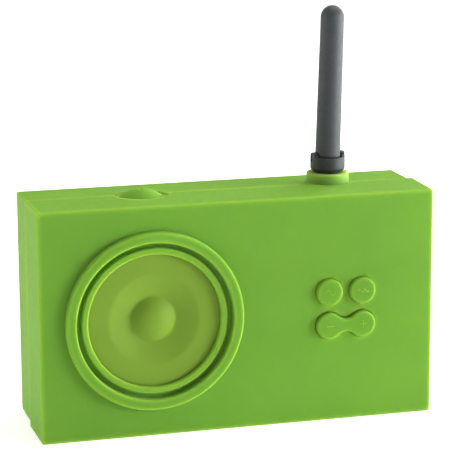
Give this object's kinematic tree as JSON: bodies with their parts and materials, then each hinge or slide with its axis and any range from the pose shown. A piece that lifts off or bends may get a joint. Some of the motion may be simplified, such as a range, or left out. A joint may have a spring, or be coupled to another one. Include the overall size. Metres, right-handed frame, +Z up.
{
  "type": "portable radio with speaker",
  "caption": "Splash-proof pocket radio: flat box in a two-part rubber skin, round speaker with raised rim, band keys, volume rocker, top power button, swivelling rubber aerial.",
  "frame": {"origin": "middle of the flat underside, midway between the front and back faces of the box", "axes": "+X to the viewer's right as one faces the speaker, +Y from the front face to the back, +Z up"},
  "size_m": [0.1406, 0.0434, 0.143],
  "materials": {
    "green_skin": "satin moulded silicone",
    "green_keys": "satin moulded silicone",
    "olive_membrane": "thin satin silicone",
    "green_boss": "satin moulded silicone",
    "grey_rubber": "soft satin",
    "grey_plastic": "satin moulded",
    "black_plastic": "fine moulded",
    "black_rubber": "matt",
    "white_nylon": "smooth moulded",
    "steel": "plated",
    "copper": "tinned or plated copper",
    "circuit_board": "solder resist",
    "chip_black": "moulded epoxy",
    "can_metal": "drawn can",
    "ferrite": "sintered",
    "cell_can": "printed sleeve left plain",
    "cone_paper": "pressed paper",
    "spider_cloth": "pressed cloth"
  },
  "bodies": {
    "housing": {"front_skin": "green_skin", "rear_skin": "green_skin", "speaker_membrane": "olive_membrane", "rocker_pin": "steel", "aerial_bushing": "green_boss", "shaft_o_ring": "black_rubber", "thrust_washer": "steel", "front_case": "black_plastic", "rear_case": "black_plastic", "case_seal": "black_rubber", "case_screws": "steel", "speaker_basket": "black_plastic", "speaker_top_plate": "steel", "speaker_magnet": "ferrite", "speaker_yoke": "steel", "speaker_surround": "black_rubber", "speaker_spider": "spider_cloth", "speaker_screws": "steel", "main_board": "circuit_board", "key_contacts": "copper", "tuner_chip": "chip_black", "amplifier_chip": "chip_black", "electrolytics": "can_metal", "if_cans": "can_metal", "board_screws": "steel", "power_board": "circuit_board", "power_contact": "copper", "tuner_board": "circuit_board", "tuning_capacitor": "white_nylon", "shaft_wiper": "copper", "ferrite_rod": "ferrite", "ferrite_coil": "copper", "ferrite_clips": "white_nylon", "battery_cells": "cell_can", "battery_springs": "steel", "battery_plates": "steel", "speaker_leads": "black_rubber"},
    "am_switch": {"am_key": "green_keys", "am_contact_pill": "black_rubber"},
    "fm_switch": {"fm_key": "green_keys", "fm_contact_pill": "black_rubber"},
    "rocker": {"volume_rocker": "green_keys", "rocker_pills": "black_rubber"},
    "power_switch": {"power_button": "green_keys", "power_pill": "black_rubber"},
    "swivel": {"aerial_collar": "grey_plastic", "aerial_shaft": "steel", "shaft_pinion": "white_nylon", "retaining_clip": "steel", "hinge_pin": "steel"},
    "aerial": {"aerial_knuckle": "grey_plastic", "aerial_rod": "grey_rubber", "aerial_core": "steel"},
    "tuning_rotor": {"capacitor_gear": "white_nylon"},
    "moving_coil": {"speaker_cone": "cone_paper", "dust_cap": "cone_paper", "voice_coil": "copper"},
    "door": {"battery_door": "green_skin", "door_gasket": "black_rubber", "door_screws": "steel"}
  },
  "joints": [
    {"name": "am_press", "type": "slide", "parent": "housing", "child": "am_switch", "axis": [0, 1, 0], "range_m": [0, 0.0008], "stiffness_N_per_m": 1500},
    {"name": "fm_press", "type": "slide", "parent": "housing", "child": "fm_switch", "axis": [0, 1, 0], "range_m": [0, 0.0008], "stiffness_N_per_m": 1500},
    {"name": "volume_rock", "type": "hinge", "parent": "housing", "child": "rocker", "pos_m": [0.0379, -0.0177, 0.0343], "axis": [0, 0, 1], "range_deg": [-3.3, 3.3], "stiffness_Nm_per_rad": 0.15},
    {"name": "power_press", "type": "slide", "parent": "housing", "child": "power_switch", "axis": [0, 0, -1], "range_m": [0, 0.001], "stiffness_N_per_m": 2000},
    {"name": "aerial_swivel", "type": "hinge", "parent": "housing", "child": "swivel", "pos_m": [0.0391, 0.0036, 0.08], "axis": [0, 0, 1], "range_deg": [-135, 135]},
    {"name": "aerial_tilt", "type": "hinge", "parent": "swivel", "child": "aerial", "pos_m": [0.0391, 0.0036, 0.0892], "axis": [0.9925, 0.1219, 0], "range_deg": [-30, 30]},
    {"name": "capacitor_turn", "type": "hinge", "parent": "housing", "child": "tuning_rotor", "pos_m": [0.0191, 0.0036, 0.0724], "axis": [0, 0, 1], "range_deg": [-90.5, 90.5]},
    {"name": "cone_travel", "type": "slide", "parent": "housing", "child": "moving_coil", "axis": [0, 1, 0], "range_m": [-0.0005, 0.0005], "stiffness_N_per_m": 1200, "deforming": ["speaker_surround", "speaker_spider"]},
    {"name": "door_removal", "type": "slide", "parent": "housing", "child": "door", "axis": [0, 1, 0], "range_m": [0, 0.03]}
  ],
  "couplings": [
    {"joint": "capacitor_turn", "follows": "aerial_swivel", "ratio": -0.66667}
  ]
}
